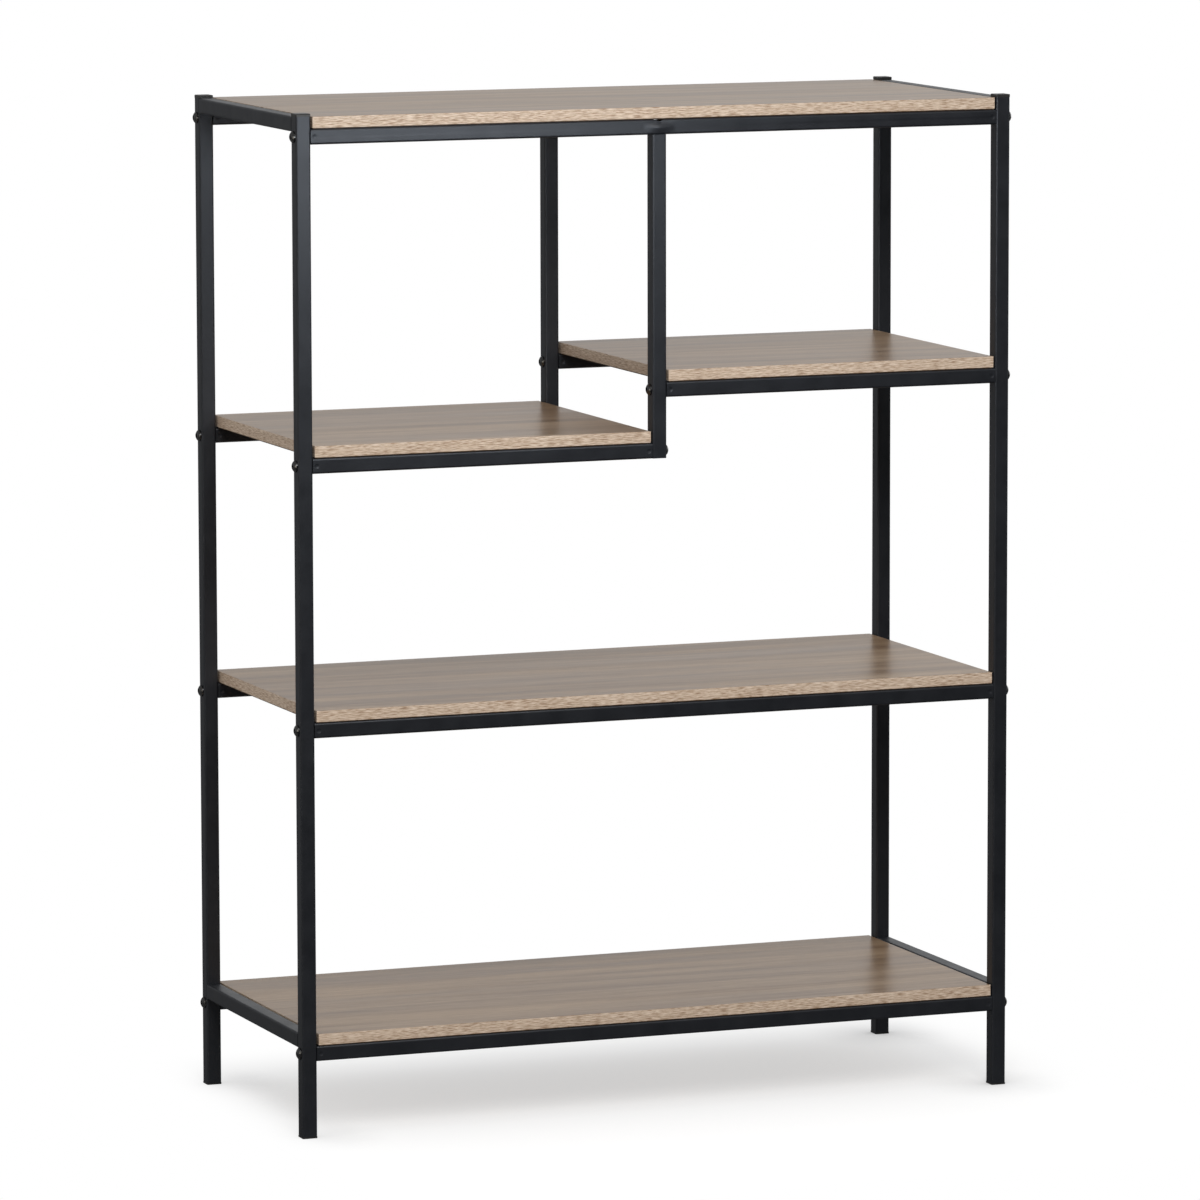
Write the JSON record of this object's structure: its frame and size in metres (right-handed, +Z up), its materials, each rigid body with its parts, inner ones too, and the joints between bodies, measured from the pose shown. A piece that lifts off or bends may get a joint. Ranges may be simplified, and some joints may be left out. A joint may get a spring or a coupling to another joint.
{
  "type": "bookcase",
  "caption": "Open bookcase with a bolted black square-tube steel frame and oak-look boards, split above the middle into two columns with shelves at different heights.",
  "frame": {"origin": "on the floor, under the middle of the frame", "axes": "+X along the boards to the right, +Y to the back, +Z up"},
  "size_m": [0.7574, 0.31, 1],
  "materials": {
    "powder_coated_steel": "satin black powder coat with a fine texture",
    "board_laminate": "semi-gloss oak-look melamine laminate on particle board, grain along the board",
    "board_edging": "satin light oak-look edging",
    "black_plastic": "moulded black polyethylene",
    "black_bolt_steel": "black zinc-nickel plate, satin",
    "zinc_plated_steel": "bright zinc plate"
  },
  "bodies": {
    "root": {"front_left_post": "powder_coated_steel", "rear_left_post": "powder_coated_steel", "front_right_post": "powder_coated_steel", "rear_right_post": "powder_coated_steel", "left_top_side_rail": "powder_coated_steel", "left_bottom_side_rail": "powder_coated_steel", "right_top_side_rail": "powder_coated_steel", "right_bottom_side_rail": "powder_coated_steel", "top_front_rail": "powder_coated_steel", "top_rear_rail": "powder_coated_steel", "left_front_rail": "powder_coated_steel", "left_rear_rail": "powder_coated_steel", "right_front_rail": "powder_coated_steel", "right_rear_rail": "powder_coated_steel", "lower_front_rail": "powder_coated_steel", "lower_rear_rail": "powder_coated_steel", "bottom_front_rail": "powder_coated_steel", "bottom_rear_rail": "powder_coated_steel", "front_hanger": "powder_coated_steel", "rear_hanger": "powder_coated_steel", "front_hanger_end_plate": "powder_coated_steel", "rear_hanger_end_plate": "powder_coated_steel", "top_board": "board_laminate", "left_board": "board_laminate", "right_board": "board_laminate", "lower_board": "board_laminate", "bottom_board": "board_laminate", "top_board_edging": "board_edging", "left_board_edging": "board_edging", "right_board_edging": "board_edging", "lower_board_edging": "board_edging", "bottom_board_edging": "board_edging", "front_left_cap": "black_plastic", "rear_left_cap": "black_plastic", "front_right_cap": "black_plastic", "rear_right_cap": "black_plastic", "front_left_foot": "black_plastic", "rear_left_foot": "black_plastic", "front_right_foot": "black_plastic", "rear_right_foot": "black_plastic", "post_bolts": "black_bolt_steel", "hanger_side_bolts": "black_bolt_steel", "hanger_top_bolts": "black_bolt_steel", "rail_inserts": "zinc_plated_steel", "hanger_inserts": "zinc_plated_steel", "board_screws": "zinc_plated_steel"}
  },
  "joints": []
}
